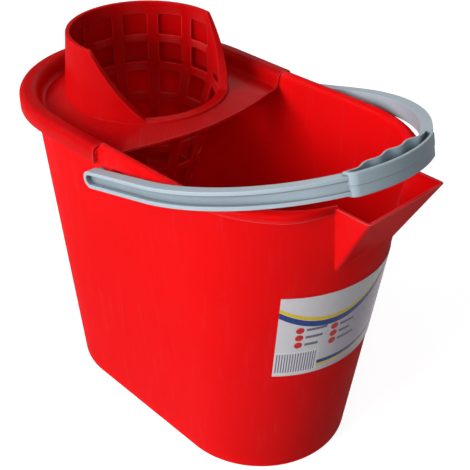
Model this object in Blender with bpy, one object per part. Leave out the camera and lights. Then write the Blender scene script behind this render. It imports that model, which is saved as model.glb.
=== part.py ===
"""Oval mop bucket: a spouted bucket, a lift-out wringer with a latticed basket, and a bail handle.

Metres, +Z up, +X towards the spout. The origin is on the floor, under the middle of the overall length.
"""

import math

import bmesh
import bpy
from mathutils import Matrix, Vector

# Bucket wall, on its outer face: an oval with straight sides and round ends
RIM_HEIGHT = 0.2885
BASE_ARC_OFFSET = 0.0705
BASE_RADIUS = 0.0813
MOUTH_REAR_ARC = 0.0804
MOUTH_FRONT_ARC = 0.0897
MOUTH_RADIUS = 0.1002
WALL = 0.0022
FLOOR = 0.0025
FLOOR_FILLET = 0.010
BASE_FILLET = 0.004
FOOT_DEPTH = 0.003
FOOT_WIDTH = 0.009

# Rim: a plain turned-out edge under the wringer's hook, a raised roll before the hook's ends
RIM_BEND = 0.0052
RIM_WIDTH = 0.0101
RIM_EDGE_ROUND = 0.0016
RIM_SLOPE = 0.0012
ROLL_RADIUS = 0.00535
ROLL_SKIRT = 0.0022
ROLL_RISE = 0.0032
ROLL_TILT = 0.0165
STEP_GAP = 0.0004
STEP_RUN = 0.0008

# Pour spout, folded out of the front wall
SPOUT_REACH = 0.0223
SPOUT_LIP_HALF_WIDTH = 0.0434
SPOUT_RISE = 0.0040
SPOUT_DROP = 0.060
SPOUT_FOOT_HALF_WIDTH = 0.033

# Handle pivot: ears under the rim, blind holes in them, pins on the handle
PIVOT_X = -0.0015
PIVOT_DROP = 0.019
EAR_RADIUS = 0.011
EAR_INSET = 0.0005
PIN_RADIUS = 0.005
PIN_DEPTH = 0.0085
HUB_RADIUS = 0.0058

# Wringer: rim hook, dished flange, splash guard and basket, on the axis of the rear arc
FIT = 0.0003
HOOK_DROP = 0.0124
HOOK_CORNER = 0.0053
DISH_FILLET = 0.005
DISH_DEPTH = 0.0055
SEAM_X = -0.010
FLANGE_BULGE = 0.018
GUARD_RISE = 0.0515
GUARD_TOP_RADIUS = 0.0683
GUARD_FLARE = 0.08
GUARD_FOOT_FILLET = 0.001
CUT_START = 0.0096
CUT_ANGLE = math.radians(50.0)
COLLAR_DROP = 0.0033
EDGE_ROUND = 0.0010
TOP_BAND = 0.008
GROOVE_LEAST = 0.0012
GUARD_EDGE_WIDTH = 0.0040
BASKET_DRAFT = 0.0008
BASKET_FLOOR_RADIUS = 0.036
BASKET_DEPTH = 0.1005
BASKET_FILLET = 0.004

# Lattice of square windows in the basket, and drain holes in its floor
WINDOW_COLUMNS = 12
WINDOW_ANGLE = math.radians(20.6)
WINDOW_HEIGHT = 0.0205
WINDOW_ROW_PITCH = 0.0275
WINDOW_FIRST = 0.011
WINDOW_FLOOR_MARGIN = 0.006
WINDOW_LEAST_HEIGHT = 0.006
WINDOW_OVERCUT = 0.004
DRAIN_COUNT = 6
DRAIN_RADIUS = 0.0045
DRAIN_CIRCLE = 0.021

# Bail handle, in its own plane: straight arms, round shoulders, then the arc of the grip
REST_TILT = math.radians(13.9)
ARM_GAP = 0.0020
ARM_STRAIGHT = 0.0665
SHOULDER_RADIUS = 0.157
SHOULDER_TURN = math.radians(57.0)
STRAP_HEIGHT = 0.0142
STRAP_DEPTH = 0.009
CHANNEL_DEPTH = 0.0045
CHANNEL_FLANGE = 0.003
GRIP_PROUD = 0.003
GRIP_HALF_LENGTH = 0.0465
GRIP_END_RADIUS = 0.008
GRIP_END_BACK = 0.0040
GRIP_TOP = 0.0095
GRIP_BOTTOM = 0.0089
GRIP_WALL = 0.0025
GRIP_WEB = 0.0025
FINGER_COUNT = 4
FINGER_DEPTH = 0.0022

# Label on the front end
LABEL_BOTTOM = 0.123
LABEL_TOP = 0.2095
LABEL_HALF_ANGLE = math.radians(43.5)
LABEL_THICKNESS = 0.0003

# Facets
ARC_STEPS = 32
BEND_STEPS = 4
FILLET_STEPS = 3
PIN_SIDES = 24
FINGER_STEPS = 6

# Worked out from the sizes above
MOUTH_Z = RIM_HEIGHT - RIM_BEND
BEND_OFFSET = RIM_BEND - WALL
RIM_OUTER = MOUTH_RADIUS + RIM_WIDTH
ROLL_OFFSET = ROLL_RADIUS - WALL
ROLL_Z = RIM_HEIGHT + ROLL_RISE - ROLL_RADIUS
NECK_Z = MOUTH_Z - WALL
STEP_REAR = SEAM_X + STEP_GAP
STEP_FRONT = STEP_REAR + STEP_RUN
SPOUT_TOP = RIM_HEIGHT + SPOUT_RISE
FLOOR_Z = FOOT_DEPTH + FLOOR
PIVOT_Z = RIM_HEIGHT - PIVOT_DROP
WALL_BREAK_Z = min(RIM_HEIGHT - SPOUT_DROP, PIVOT_Z - EAR_RADIUS) - WALL
EAR_FACE = RIM_OUTER - EAR_INSET
HOOK_WIDTH = RIM_WIDTH + FIT + WALL
HOOK_TOP = RIM_HEIGHT + FIT + WALL
HOOK_OUTER = MOUTH_RADIUS + HOOK_WIDTH
AXIS_X = -MOUTH_REAR_ARC
DISH_Z = RIM_HEIGHT - DISH_DEPTH
THROAT_Z = DISH_Z - WALL
GUARD_TOP = RIM_HEIGHT + GUARD_RISE
COLLAR_TOP = RIM_HEIGHT - COLLAR_DROP
BASKET_TOP_RADIUS = GUARD_TOP_RADIUS - GUARD_EDGE_WIDTH
BASKET_THROAT_RADIUS = BASKET_TOP_RADIUS - BASKET_DRAFT
BASKET_FLOOR_Z = RIM_HEIGHT - BASKET_DEPTH
ARM_INNER = HOOK_OUTER + ARM_GAP
ARM_OUTER = ARM_INNER + STRAP_DEPTH
SHOULDER_END_X = ARM_STRAIGHT + SHOULDER_RADIUS * math.sin(SHOULDER_TURN)
SHOULDER_END_Y = ARM_OUTER - SHOULDER_RADIUS * (1 - math.cos(SHOULDER_TURN))
GRIP_RADIUS = SHOULDER_END_Y / math.cos(SHOULDER_TURN)
GRIP_CENTRE_X = SHOULDER_END_X - GRIP_RADIUS * math.sin(SHOULDER_TURN)
GRIP_FRONT = GRIP_CENTRE_X + GRIP_RADIUS + GRIP_PROUD
HANDLE_FRONT = PIVOT_X + GRIP_FRONT * math.cos(REST_TILT) + GRIP_BOTTOM * math.sin(REST_TILT)
SPOUT_LIP_X = MOUTH_FRONT_ARC + MOUTH_RADIUS + SPOUT_REACH
OVERALL_REAR = MOUTH_REAR_ARC + HOOK_OUTER
OVERALL_FRONT = max(HANDLE_FRONT, SPOUT_LIP_X)
BUCKET_X = (OVERALL_REAR - OVERALL_FRONT) / 2


def lerp(start, end, share):
    return start + (end - start) * share


def arc(start, end, steps):
    """Angles from start to end, both included."""
    return [lerp(start, end, step / steps) for step in range(steps + 1)]


def oval(rear, front, radius, z):
    """A level ring: a round end about +front, one about -rear, and the rim step's stations on the straight sides."""
    ring = []
    for centre, first, stations in ((front, -math.pi / 2, (STEP_FRONT, STEP_REAR)),
                                    (-rear, math.pi / 2, (STEP_REAR, STEP_FRONT))):
        for angle in arc(first, first + math.pi, ARC_STEPS):
            ring.append(Vector((centre + radius * math.cos(angle), radius * math.sin(angle), z)))
        for x in stations:
            ring.append(Vector((x, math.copysign(radius, centre), z)))
    return ring


def wall_size(z):
    """Rear arc, front arc and radius of the wall's outer face at a height."""
    share = z / MOUTH_Z
    rear = lerp(BASE_ARC_OFFSET, MOUTH_REAR_ARC, share)
    front = lerp(BASE_ARC_OFFSET, MOUTH_FRONT_ARC, share)
    return rear, front, lerp(BASE_RADIUS, MOUTH_RADIUS, share)


def wall_ring(z, inset):
    rear, front, radius = wall_size(z)
    return oval(rear, front, radius - inset, z)


def rim_ring(plain, rolled):
    """A ring of the rim, from an offset and height behind the step and those of the rising roll before it."""
    ring = []
    ovals = [oval(MOUTH_REAR_ARC, MOUTH_FRONT_ARC, MOUTH_RADIUS + offset, z) for offset, z in (plain, rolled)]
    for behind, before in zip(*ovals):
        raised = Vector((0.0, 0.0, ROLL_TILT * (before.x - STEP_FRONT)))
        ring.append(behind if before.x < (STEP_REAR + STEP_FRONT) / 2 else before + raised)
    return ring


def profile_arc(offset, z, radius, first, last, steps):
    """Offsets from the wall and heights, on an arc about a centre."""
    return [(offset + radius * math.cos(a), z + radius * math.sin(a)) for a in arc(first, last, steps)]


def rim_bend(radius, first, last):
    """A quarter about the centre of the rim's bend."""
    return profile_arc(BEND_OFFSET, MOUTH_Z, radius, first, last, BEND_STEPS)


def plain_rim():
    """The rim under the hook, from the inner bend over the edge to the outer bend."""
    edge = RIM_WIDTH - RIM_EDGE_ROUND
    edge_z = RIM_HEIGHT - RIM_SLOPE
    bend = rim_bend(BEND_OFFSET, math.pi / 2, math.pi)
    under = [[lerp(RIM_WIDTH, bend[0][0], share), lerp(edge_z - WALL, bend[0][1], share)] for share in arc(0, 1, 6)]
    outer = profile_arc(edge, edge_z - RIM_EDGE_ROUND, RIM_EDGE_ROUND, math.pi / 2, 0.0, BEND_STEPS - 1)
    return rim_bend(RIM_BEND, math.pi, math.pi / 2) + outer + under[:-1] + bend


def rolled_rim():
    """The roll before the step, point for point with the plain rim: half round outside, hollow below."""
    foot = ROLL_Z - ROLL_SKIRT
    outer = profile_arc(ROLL_OFFSET, ROLL_Z, ROLL_RADIUS, math.pi, 0.0, 2 * BEND_STEPS)
    inner = profile_arc(ROLL_OFFSET, ROLL_Z, ROLL_OFFSET, 0.0, math.pi, 2 * BEND_STEPS)
    return outer + [(ROLL_OFFSET + ROLL_RADIUS, foot), (2 * ROLL_OFFSET, foot)] + inner


def new_object(name, bm, cutter=False):
    """Turn a bmesh into an object in bucket coordinates."""
    bmesh.ops.recalc_face_normals(bm, faces=bm.faces)
    mesh = bpy.data.meshes.new(name)
    bm.to_mesh(mesh)
    bm.free()
    mesh.shade_smooth()
    mesh.set_sharp_from_angle(angle=math.radians(35.0))
    obj = bpy.data.objects.new(name, mesh)
    obj.location.x = BUCKET_X
    bpy.context.collection.objects.link(obj)
    if cutter:
        obj.hide_render = True
        obj.display_type = 'WIRE'
    return obj


def add_skin(bm, rings):
    """A closed body through rings of equal length, with flat caps."""
    loops = [[bm.verts.new(point) for point in ring] for ring in rings]
    count = len(loops[0])
    for here, there in zip(loops, loops[1:]):
        for i in range(count):
            j = (i + 1) % count
            bm.faces.new((here[i], here[j], there[j], there[i]))
    bm.faces.new(loops[0])
    bm.faces.new(loops[-1])


def add_prism(bm, outline, low, high):
    """A flat outline in X and Y, extruded up from low to high."""
    base = bm.faces.new([bm.verts.new((x, y, low)) for x, y in outline])
    grown = bmesh.ops.extrude_face_region(bm, geom=[base])["geom"]
    top = [item for item in grown if isinstance(item, bmesh.types.BMVert)]
    bmesh.ops.translate(bm, verts=top, vec=(0, 0, high - low))


def add_rod(bm, radius, x, z, y_from, y_to):
    """A round rod along Y."""
    place = Matrix.Translation((x, (y_from + y_to) / 2, z)) @ Matrix.Rotation(math.pi / 2, 4, 'X')
    bmesh.ops.create_cone(bm, cap_ends=True, segments=PIN_SIDES, radius1=radius, radius2=radius,
                          depth=abs(y_to - y_from), matrix=place)


def add_boolean(obj, other, operation):
    modifier = obj.modifiers.new(other.name, 'BOOLEAN')
    modifier.object = other
    modifier.operation = operation
    modifier.solver = 'EXACT'


def plastic(obj, colour, roughness):
    material = bpy.data.materials.new(obj.name + "_plastic")
    material.use_nodes = True
    shader = material.node_tree.nodes["Principled BSDF"]
    shader.inputs["Base Color"].default_value = (*colour, 1.0)
    shader.inputs["Roughness"].default_value = roughness
    shader.inputs["Metallic"].default_value = 0.0
    material.diffuse_color = (*colour, 1.0)
    obj.data.materials.append(material)


def bucket_shell():
    """Floor, wall, turned-out rim and foot ring as one skin, from the inside of the floor to its underside."""
    rings = []
    for angle in arc(0.0, math.pi / 2, FILLET_STEPS):
        rise = FLOOR_FILLET * (1 - math.cos(angle))
        inset = WALL + FLOOR_FILLET * (1 - math.sin(angle))
        rings.append(wall_ring(FLOOR_Z + rise, inset))
    rings += [wall_ring(WALL_BREAK_Z, WALL), wall_ring(NECK_Z, WALL)]
    rings += [rim_ring(plain, rolled) for plain, rolled in zip(plain_rim(), rolled_rim())]
    rings += [wall_ring(NECK_Z, 0.0), wall_ring(WALL_BREAK_Z, 0.0)]
    for angle in arc(0.0, math.pi / 2, FILLET_STEPS):
        inset = BASE_FILLET * (1 - math.cos(angle))
        rings.append(wall_ring(BASE_FILLET * (1 - math.sin(angle)), inset))
    rings.append(wall_ring(0.0, BASE_FILLET + FOOT_WIDTH))
    rings.append(wall_ring(FOOT_DEPTH, BASE_FILLET + FOOT_WIDTH))
    bm = bmesh.new()
    add_skin(bm, rings)
    return new_object("bucket_body", bm)


def bucket_cavity():
    """The space within the middle of the wall, which the spout's solid is kept out of."""
    root = WALL / 2
    rings = [wall_ring(FLOOR_Z, root), wall_ring(NECK_Z, root)]
    bend = rim_bend(RIM_BEND - root, math.pi, math.pi / 2)
    roll = profile_arc(ROLL_OFFSET, ROLL_Z, ROLL_RADIUS - root, math.pi, math.pi / 2, BEND_STEPS)
    rings += [rim_ring(plain, rolled) for plain, rolled in zip(bend, roll)]
    rings.append(rim_ring((BEND_OFFSET, RIM_HEIGHT * 1.1), (ROLL_OFFSET, RIM_HEIGHT * 1.1)))
    bm = bmesh.new()
    add_skin(bm, rings)
    return new_object("bucket_cavity", bm, cutter=True)


def spout_wedge(bm, wall, inward, above):
    """The spout as a wedge: its front and side faces drawn in by wall, its back pushed inward."""
    foot_z = RIM_HEIGHT - SPOUT_DROP
    rear, front, radius = wall_size(foot_z)
    foot_x = front + math.sqrt(radius ** 2 - SPOUT_FOOT_HALF_WIDTH ** 2)
    slope = (SPOUT_LIP_X - foot_x) / (SPOUT_TOP - foot_z)
    spread = (SPOUT_LIP_HALF_WIDTH - SPOUT_FOOT_HALF_WIDTH) / (SPOUT_TOP - foot_z)
    front_inset = wall * math.hypot(1.0, slope)
    side_inset = wall * math.hypot(1.0, spread)
    points = []
    for z in (foot_z, SPOUT_TOP + above):
        lip_x = foot_x + slope * (z - foot_z) - front_inset
        half_width = SPOUT_FOOT_HALF_WIDTH + spread * (z - foot_z) - side_inset
        for x in (lip_x, foot_x - inward):
            for side in (-1, 1):
                points.append(bm.verts.new((x, side * half_width, z)))
    bmesh.ops.convex_hull(bm, input=points)


def bucket_spout():
    """The spout, trimmed by the cavity so that the inside stays smooth."""
    bm = bmesh.new()
    spout_wedge(bm, 0.0, WALL, 0.0)
    spout = new_object("bucket_spout", bm, cutter=True)
    add_boolean(spout, bucket_cavity(), 'DIFFERENCE')
    return spout


def bucket_ears():
    """Lugs for the handle's pins, rooted halfway into the wall and the rim."""
    ear_top = RIM_HEIGHT - WALL / 2
    outline = []
    for x in (PIVOT_X - EAR_RADIUS, PIVOT_X + EAR_RADIUS):
        outline.append((x, MOUTH_RADIUS + BEND_OFFSET / 2, ear_top))
        outline.append((x, MOUTH_RADIUS - WALL / 2, MOUTH_Z))
    for angle in arc(math.pi, 2 * math.pi, 2 * FILLET_STEPS):
        z = PIVOT_Z + EAR_RADIUS * math.sin(angle)
        outline.append((PIVOT_X + EAR_RADIUS * math.cos(angle), wall_size(z)[2] - WALL / 2, z))
    bm = bmesh.new()
    for side in (-1, 1):
        points = []
        for x, root, z in outline:
            points += [bm.verts.new((x, side * root, z)), bm.verts.new((x, side * EAR_FACE, z))]
        bmesh.ops.convex_hull(bm, input=points)
    loose = [vert for vert in bm.verts if not vert.link_faces]
    bmesh.ops.delete(bm, geom=loose, context='VERTS')
    return new_object("bucket_ears", bm, cutter=True)


def bucket_cuts():
    """The way out through the spout, and the blind pivot holes in the ears."""
    bm = bmesh.new()
    spout_wedge(bm, WALL, MOUTH_RADIUS / 2, RIM_HEIGHT * 0.1)
    for side in (-1, 1):
        add_rod(bm, PIN_RADIUS + FIT, PIVOT_X, PIVOT_Z, side * (EAR_FACE - PIN_DEPTH - FIT), side * HOOK_OUTER)
    return new_object("bucket_cuts", bm, cutter=True)


def make_bucket():
    body = bucket_shell()
    add_boolean(body, bucket_spout(), 'UNION')
    add_boolean(body, bucket_ears(), 'UNION')
    add_boolean(body, bucket_cuts(), 'DIFFERENCE')
    plastic(body, (0.83, 0.013, 0.017), 0.32)
    return body


def guard_radius(z):
    """Outer radius of the splash guard, which widens downwards."""
    return GUARD_TOP_RADIUS + GUARD_FLARE * (GUARD_TOP - z)


def guard_edge(angle):
    """Height of the guard's upper edge: level at the back, cut on a slant, then a low collar in front."""
    lean = math.tan(CUT_ANGLE)
    forward = math.cos(angle)
    drop = lean * (GUARD_TOP_RADIUS * forward - CUT_START) / (1 - lean * GUARD_FLARE * forward)
    return GUARD_TOP - min(max(drop, 0.0), GUARD_TOP - COLLAR_TOP)


def basket_radius(z):
    """Inner radius of the basket: nearly upright beside the guard, a cone below the flange."""
    if z > THROAT_Z:
        share = (z - THROAT_Z) / (GUARD_TOP - THROAT_Z)
        return lerp(BASKET_THROAT_RADIUS, BASKET_TOP_RADIUS, share)
    share = (z - BASKET_FLOOR_Z) / (THROAT_Z - BASKET_FLOOR_Z)
    return lerp(BASKET_FLOOR_RADIUS, BASKET_THROAT_RADIUS, share)


def wringer_angles():
    """Stations round the basket: on the rear arc they match the bucket's, in front they hit the guard's corners."""
    corner = math.acos(CUT_START / GUARD_TOP_RADIUS)
    fall = GUARD_TOP - COLLAR_TOP
    level = math.acos((fall / math.tan(CUT_ANGLE) + CUT_START) / (GUARD_TOP_RADIUS + fall * GUARD_FLARE))
    half = arc(0.0, level, 6)[:-1] + arc(level, corner, 6)[:-1] + arc(corner, math.pi / 2, 2)[:-1]
    half += arc(math.pi / 2, math.pi, ARC_STEPS // 2)
    return half + [-angle for angle in reversed(half[1:-1])]


def flange_point(angle, offset, z):
    """A point of the flange's outer part: round behind the axis, straight along the sides, square in front."""
    reach = MOUTH_RADIUS + offset
    if abs(angle) >= math.pi / 2 - 1e-9:
        return Vector((AXIS_X + reach * math.cos(angle), reach * math.sin(angle), z))
    end = SEAM_X + 2 * FLANGE_BULGE - AXIS_X
    side = MOUTH_RADIUS / math.tan(abs(angle)) if angle else math.inf
    if side < end:
        return Vector((AXIS_X + side, math.copysign(reach, angle), z))
    return Vector((AXIS_X + end + offset, reach / MOUTH_RADIUS * end * math.tan(angle), z))


def wringer_shell():
    """Basket, guard, flange and rim hook as one skin, from the basket's floor over the hook and back below."""
    angles = wringer_angles()

    def ring(profile):
        """A ring about the basket's axis, from a function of the angle that gives radius and height."""
        points = []
        for angle in angles:
            radius, z = profile(angle)
            points.append(Vector((AXIS_X + radius * math.cos(angle), radius * math.sin(angle), z)))
        return points

    def flange_ring(offset, z):
        return [flange_point(angle, offset, z) for angle in angles]

    def flat(radius, z):
        return ring(lambda angle: (radius, z))

    def inside_edge(angle):
        z = guard_edge(angle) - EDGE_ROUND
        return basket_radius(z), z

    def top_inside(angle):
        z = guard_edge(angle)
        return basket_radius(z) + EDGE_ROUND, z

    def top_outside(angle):
        z = guard_edge(angle)
        return guard_radius(z) - EDGE_ROUND, z

    def outside_edge(angle):
        z = guard_edge(angle) - EDGE_ROUND
        return guard_radius(z), z

    def gap_outside(angle):
        z = max(guard_edge(angle) - TOP_BAND, THROAT_Z + GROOVE_LEAST)
        return guard_radius(z) - WALL, z

    def gap_inside(angle):
        z = max(guard_edge(angle) - TOP_BAND, THROAT_Z + GROOVE_LEAST)
        return basket_radius(z) + WALL, z

    foot = guard_radius(DISH_Z)
    skirt_foot = RIM_HEIGHT - HOOK_DROP
    rings = [flat(BASKET_FLOOR_RADIUS - BASKET_FILLET, BASKET_FLOOR_Z)]
    rings.append(flat(basket_radius(BASKET_FLOOR_Z + BASKET_FILLET), BASKET_FLOOR_Z + BASKET_FILLET))
    rings.append(flat(BASKET_THROAT_RADIUS, THROAT_Z))
    rings += [ring(inside_edge), ring(top_inside), ring(top_outside), ring(outside_edge)]
    rings.append(flat(guard_radius(DISH_Z + GUARD_FOOT_FILLET), DISH_Z + GUARD_FOOT_FILLET))
    rings.append(flat(foot + GUARD_FOOT_FILLET, DISH_Z))
    leg = -2 * WALL - FIT
    for angle in arc(math.pi / 2, 0.0, FILLET_STEPS)[:-1]:
        offset = leg - DISH_FILLET * (1 - math.cos(angle))
        rings.append(flange_ring(offset, MOUTH_Z - DISH_FILLET * math.sin(angle)))
    rings += [flange_ring(*point) for point in rim_bend(RIM_BEND + FIT + WALL, math.pi, math.pi / 2)]
    for angle in arc(math.pi / 2, 0.0, FILLET_STEPS):
        offset = HOOK_WIDTH - HOOK_CORNER * (1 - math.cos(angle))
        rings.append(flange_ring(offset, HOOK_TOP - HOOK_CORNER * (1 - math.sin(angle))))
    inner_corner = HOOK_CORNER - WALL
    rings.append(flange_ring(HOOK_WIDTH, skirt_foot))
    rings.append(flange_ring(HOOK_WIDTH - WALL, skirt_foot))
    for angle in arc(0.0, math.pi / 2, FILLET_STEPS):
        offset = HOOK_WIDTH - WALL - inner_corner * (1 - math.cos(angle))
        rings.append(flange_ring(offset, HOOK_TOP - WALL - inner_corner * (1 - math.sin(angle))))
    rings += [flange_ring(*point) for point in rim_bend(RIM_BEND + FIT, math.pi / 2, math.pi)]
    below = DISH_FILLET + WALL
    for angle in arc(0.0, math.pi / 2, FILLET_STEPS)[1:]:
        offset = leg + WALL - below * (1 - math.cos(angle))
        rings.append(flange_ring(offset, MOUTH_Z - below * math.sin(angle)))
    rings.append(flat(foot - WALL, DISH_Z - WALL))
    rings += [ring(gap_outside), ring(gap_inside)]
    rings.append(flat(BASKET_THROAT_RADIUS + WALL, THROAT_Z))
    rings.append(flat(BASKET_FLOOR_RADIUS + WALL, BASKET_FLOOR_Z))
    rings.append(flat(BASKET_FLOOR_RADIUS - BASKET_FILLET, BASKET_FLOOR_Z - WALL))
    bm = bmesh.new()
    add_skin(bm, rings)
    return new_object("wringer", bm)


def flange_front():
    """What lies beyond the flange's bowed front edge and the hook's square ends."""
    half = MOUTH_RADIUS - 2 * WALL - FIT
    bow = (half ** 2 + FLANGE_BULGE ** 2) / (2 * FLANGE_BULGE)
    centre = SEAM_X + FLANGE_BULGE - bow
    sweep = math.asin(half / bow)
    outline = [(centre + bow * math.cos(angle), bow * math.sin(angle)) for angle in arc(-sweep, sweep, 16)]
    far = SEAM_X + 2 * half
    outline += [(SEAM_X, 2 * half), (far, 2 * half), (far, -2 * half), (SEAM_X, -2 * half)]
    bm = bmesh.new()
    add_prism(bm, outline, BASKET_FLOOR_Z, GUARD_TOP)
    return new_object("flange_front", bm, cutter=True)


def add_window(bm, middle, low, high):
    """One window as a wedge that ends between the basket and the guard."""
    rings = []
    for angle in arc(middle - WINDOW_ANGLE / 2, middle + WINDOW_ANGLE / 2, 4):
        ring = []
        for z, inner in ((low, True), (low, False), (high, False), (high, True)):
            outside = basket_radius(z) + WALL
            gap = guard_radius(z) - WALL - outside
            radius = basket_radius(z) - WINDOW_OVERCUT if inner else outside + min(gap / 2, WINDOW_OVERCUT)
            ring.append(Vector((AXIS_X + radius * math.cos(angle), radius * math.sin(angle), z)))
        rings.append(ring)
    add_skin(bm, rings)


def wringer_windows():
    """The lattice and the drain holes."""
    bm = bmesh.new()
    for column in range(WINDOW_COLUMNS):
        middle = 2 * math.pi * column / WINDOW_COLUMNS
        edges = (guard_edge(middle - WINDOW_ANGLE / 2), guard_edge(middle + WINDOW_ANGLE / 2))
        high = GUARD_TOP - WINDOW_FIRST
        while high - WINDOW_HEIGHT > BASKET_FLOOR_Z + WINDOW_FLOOR_MARGIN:
            top = min(high, min(edges) - TOP_BAND)
            low = high - WINDOW_HEIGHT
            if top - low > WINDOW_LEAST_HEIGHT:
                add_window(bm, middle, low, top)
            high -= WINDOW_ROW_PITCH
    for hole in range(DRAIN_COUNT):
        angle = 2 * math.pi * (hole + 0.5) / DRAIN_COUNT
        place = (AXIS_X + DRAIN_CIRCLE * math.cos(angle), DRAIN_CIRCLE * math.sin(angle), BASKET_FLOOR_Z)
        bmesh.ops.create_cone(bm, cap_ends=True, segments=12, radius1=DRAIN_RADIUS, radius2=DRAIN_RADIUS,
                              depth=4 * WALL, matrix=Matrix.Translation(place))
    return new_object("wringer_windows", bm, cutter=True)


def make_wringer():
    wringer = wringer_shell()
    add_boolean(wringer, flange_front(), 'DIFFERENCE')
    add_boolean(wringer, wringer_windows(), 'DIFFERENCE')
    plastic(wringer, (0.80, 0.011, 0.013), 0.36)
    return wringer


def arm_path(inset):
    """One arm in the handle's plane: straight from the pivot, round the shoulder and into the grip."""
    path = [(0.0, ARM_OUTER - inset), (ARM_STRAIGHT, ARM_OUTER - inset)]
    radius = SHOULDER_RADIUS - inset
    centre_y = ARM_OUTER - SHOULDER_RADIUS
    for angle in arc(0.0, SHOULDER_TURN, 12)[1:]:
        path.append((ARM_STRAIGHT + radius * math.sin(angle), centre_y + radius * math.cos(angle)))
    radius = GRIP_RADIUS - inset
    for angle in arc(math.pi / 2 - SHOULDER_TURN, math.asin(GRIP_HALF_LENGTH / GRIP_RADIUS) / 2, 3)[1:]:
        path.append((GRIP_CENTRE_X + radius * math.cos(angle), radius * math.sin(angle)))
    return path


def arms(name, outer, inner, half_height, cutter=False):
    """Both arms between two insets from their outer face."""
    bm = bmesh.new()
    band = arm_path(outer) + arm_path(inner)[::-1]
    for side in (-1, 1):
        add_prism(bm, [(x, side * y) for x, y in band], -half_height, half_height)
    return new_object(name, bm, cutter)


def pivot_rods(name, radius, y_from, y_to):
    """A pair of rods on the pivot's axis."""
    bm = bmesh.new()
    for side in (-1, 1):
        add_rod(bm, radius, 0.0, 0.0, side * y_from, side * y_to)
    return new_object(name, bm, cutter=True)


def grip_outline(inset):
    """The grip from above: a round front with rounded corners and a finger-waved back, drawn in by inset."""
    radius = GRIP_RADIUS + GRIP_PROUD - inset
    half = GRIP_HALF_LENGTH - inset
    corner = GRIP_END_RADIUS - inset
    corner_y = half - corner
    corner_x = GRIP_CENTRE_X + math.sqrt((radius - corner) ** 2 - corner_y ** 2)
    turn = math.asin(corner_y / (radius - corner))
    outline = []
    for angle in arc(-math.pi / 2, -turn, 4):
        outline.append((corner_x + corner * math.cos(angle), corner * math.sin(angle) - corner_y))
    for angle in arc(-turn, turn, 12)[1:-1]:
        outline.append((GRIP_CENTRE_X + radius * math.cos(angle), radius * math.sin(angle)))
    for angle in arc(turn, math.pi / 2, 4):
        outline.append((corner_x + corner * math.cos(angle), corner * math.sin(angle) + corner_y))
    back = corner_x - GRIP_END_BACK + inset
    for y in arc(half, -half, FINGER_COUNT * FINGER_STEPS):
        phase = math.pi * FINGER_COUNT * (y / GRIP_HALF_LENGTH + 1)
        outline.append((back + FINGER_DEPTH * (1 - math.cos(phase)) / 2, y))
    return outline


def handle_grip():
    bm = bmesh.new()
    add_prism(bm, grip_outline(0.0), -GRIP_BOTTOM, GRIP_TOP)
    return new_object("handle_grip", bm, cutter=True)


def grip_pockets():
    """The hollows of the grip, above and below its web."""
    bm = bmesh.new()
    pocket = grip_outline(GRIP_WALL)
    web_top = (GRIP_TOP - GRIP_BOTTOM + GRIP_WEB) / 2
    add_prism(bm, pocket, web_top, 2 * GRIP_TOP)
    add_prism(bm, pocket, -2 * GRIP_BOTTOM, web_top - GRIP_WEB)
    return new_object("grip_pockets", bm, cutter=True)


def make_handle():
    """Channelled arms with round ends, then hubs, pins and the hollow grip."""
    channel = STRAP_HEIGHT / 2 - CHANNEL_FLANGE
    channel_floor = ARM_OUTER - CHANNEL_DEPTH
    beyond = ARM_OUTER + CHANNEL_DEPTH
    handle = arms("bail_handle", 0.0, STRAP_DEPTH, STRAP_HEIGHT / 2)
    steps = [
        (pivot_rods("arm_ends", STRAP_HEIGHT / 2, ARM_INNER, ARM_OUTER), 'UNION'),
        (arms("arm_channels", -CHANNEL_DEPTH, CHANNEL_DEPTH, channel, cutter=True), 'DIFFERENCE'),
        (pivot_rods("channel_ends", channel, channel_floor, beyond), 'DIFFERENCE'),
        (pivot_rods("pivot_hubs", HUB_RADIUS, EAR_FACE + FIT, ARM_INNER + STRAP_DEPTH / 4), 'UNION'),
        (pivot_rods("pivot_pins", PIN_RADIUS, EAR_FACE - PIN_DEPTH, ARM_INNER), 'UNION'),
        (handle_grip(), 'UNION'),
        (grip_pockets(), 'DIFFERENCE'),
    ]
    for piece in [handle] + [piece for piece, operation in steps]:
        piece.location = (BUCKET_X + PIVOT_X, 0.0, PIVOT_Z)
        piece.rotation_euler.y = -REST_TILT
    for piece, operation in steps:
        add_boolean(handle, piece, operation)
    plastic(handle, (0.39, 0.45, 0.51), 0.38)
    return handle


def make_label():
    """A printed film wrapped round the front end."""
    bm = bmesh.new()
    rows = []
    for z in arc(LABEL_BOTTOM, LABEL_TOP, 2):
        front, radius = wall_size(z)[1:]
        reach = radius + FIT
        row = []
        for angle in arc(-LABEL_HALF_ANGLE, LABEL_HALF_ANGLE, 16):
            row.append(bm.verts.new((front + reach * math.cos(angle), reach * math.sin(angle), z)))
        rows.append(row)
    for lower, upper in zip(rows, rows[1:]):
        for i in range(len(lower) - 1):
            bm.faces.new((lower[i], lower[i + 1], upper[i + 1], upper[i]))
    label = new_object("front_label", bm)
    film = label.modifiers.new("film", 'SOLIDIFY')
    film.thickness = LABEL_THICKNESS
    film.offset = 1.0
    plastic(label, (0.74, 0.72, 0.74), 0.30)
    return label


def main():
    for obj in list(bpy.data.objects):
        bpy.data.objects.remove(obj, do_unlink=True)
    make_bucket()
    make_wringer()
    make_handle()
    make_label()


main()
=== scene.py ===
"""Looks of an oval mop bucket with a pour spout, a lift-out wringer and a bail handle.

Each moulding is built again from the part's own sizes, with finer curves and rounded edges, and stands for
its node. A few small forms, named below, are in the scene alone.
Metres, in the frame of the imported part: +X towards the spout, +Z up, origin on the floor.
"""

import math

import bmesh
import bpy
from mathutils import Matrix, Vector


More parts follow.
